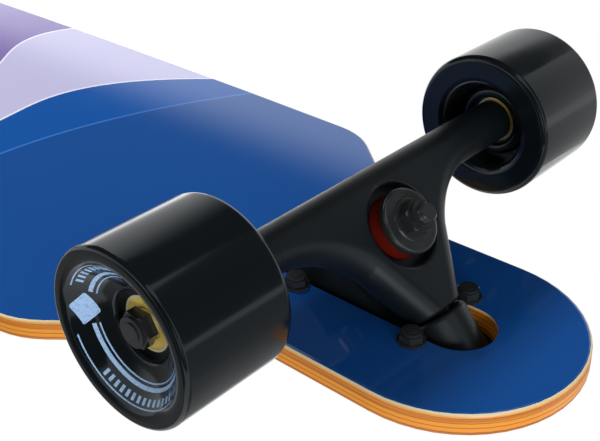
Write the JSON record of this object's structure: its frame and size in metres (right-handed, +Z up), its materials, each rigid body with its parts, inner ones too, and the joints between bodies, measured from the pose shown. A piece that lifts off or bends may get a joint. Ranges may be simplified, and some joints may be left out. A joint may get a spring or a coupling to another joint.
{
  "type": "longboard skateboard",
  "caption": "Drop-through longboard skateboard: ply deck with rounded end tabs and wheel cut-outs, sprung tilting trucks and free-turning wheels.",
  "frame": {"origin": "on the ground under the middle of the deck, with the board standing on its wheels", "axes": "+X along the deck to the front end, +Y to the rider's left, +Z up from the ground to the standing side"},
  "size_m": [1.04, 0.2726, 0.1007],
  "materials": {
    "deck_wood": "lacquered maple ply, printed underside",
    "grip_tape": "coarse grit sheet",
    "black_coat": "satin powder coat on cast aluminium",
    "black_steel": "black plated steel",
    "bright_steel": "ground",
    "gold_shield": "polished",
    "red_urethane": "translucent gloss",
    "black_urethane": "gloss",
    "black_plastic": "satin"
  },
  "bodies": {
    "deck": {"deck": "deck_wood", "grip_tape": "grip_tape", "front_baseplate": "black_coat", "front_pivot_cup": "black_plastic", "front_kingpin": "black_steel", "front_boardside_bushing": "red_urethane", "front_roadside_bushing": "red_urethane", "front_boardside_washer": "black_steel", "front_roadside_washer": "black_steel", "front_kingpin_nut": "black_steel", "front_mounting_bolts": "black_steel", "front_mounting_nuts": "black_steel", "rear_baseplate": "black_coat", "rear_pivot_cup": "black_plastic", "rear_kingpin": "black_steel", "rear_boardside_bushing": "red_urethane", "rear_roadside_bushing": "red_urethane", "rear_boardside_washer": "black_steel", "rear_roadside_washer": "black_steel", "rear_kingpin_nut": "black_steel", "rear_mounting_bolts": "black_steel", "rear_mounting_nuts": "black_steel"},
    "front_hanger": {"front_hanger": "black_coat", "front_axle": "black_steel", "front_axle_nuts": "black_steel", "front_speed_rings": "bright_steel", "front_bearing_inner_races": "bright_steel", "front_bearing_spacers": "bright_steel"},
    "rear_hanger": {"rear_hanger": "black_coat", "rear_axle": "black_steel", "rear_axle_nuts": "black_steel", "rear_speed_rings": "bright_steel", "rear_bearing_inner_races": "bright_steel", "rear_bearing_spacers": "bright_steel"},
    "front_left_wheel": {"front_left_wheel": "black_urethane", "front_left_wheel_core": "black_plastic", "front_left_bearing_outer_races": "bright_steel", "front_left_bearing_shields": "gold_shield"},
    "front_right_wheel": {"front_right_wheel": "black_urethane", "front_right_wheel_core": "black_plastic", "front_right_bearing_outer_races": "bright_steel", "front_right_bearing_shields": "gold_shield"},
    "rear_left_wheel": {"rear_left_wheel": "black_urethane", "rear_left_wheel_core": "black_plastic", "rear_left_bearing_outer_races": "bright_steel", "rear_left_bearing_shields": "gold_shield"},
    "rear_right_wheel": {"rear_right_wheel": "black_urethane", "rear_right_wheel_core": "black_plastic", "rear_right_bearing_outer_races": "bright_steel", "rear_right_bearing_shields": "gold_shield"}
  },
  "joints": [
    {"name": "front_steer", "type": "hinge", "parent": "deck", "child": "front_hanger", "pos_m": [0.4165, 0, 0.035], "axis": [0.6428, 0, 0.766], "range_deg": [-12, 12], "stiffness_Nm_per_rad": 120, "deforming": ["front_boardside_bushing", "front_roadside_bushing"]},
    {"name": "rear_steer", "type": "hinge", "parent": "deck", "child": "rear_hanger", "pos_m": [-0.4165, 0, 0.035], "axis": [-0.6428, 0, 0.766], "range_deg": [-12, 12], "stiffness_Nm_per_rad": 120, "deforming": ["rear_boardside_bushing", "rear_roadside_bushing"]},
    {"name": "front_left_spin", "type": "hinge", "parent": "front_hanger", "child": "front_left_wheel", "pos_m": [0.4165, 0.1108, 0.035], "axis": [0, 1, 0], "continuous": true},
    {"name": "front_right_spin", "type": "hinge", "parent": "front_hanger", "child": "front_right_wheel", "pos_m": [0.4165, -0.1108, 0.035], "axis": [0, 1, 0], "continuous": true},
    {"name": "rear_left_spin", "type": "hinge", "parent": "rear_hanger", "child": "rear_left_wheel", "pos_m": [-0.4165, 0.1108, 0.035], "axis": [0, 1, 0], "continuous": true},
    {"name": "rear_right_spin", "type": "hinge", "parent": "rear_hanger", "child": "rear_right_wheel", "pos_m": [-0.4165, -0.1108, 0.035], "axis": [0, 1, 0], "continuous": true}
  ]
}
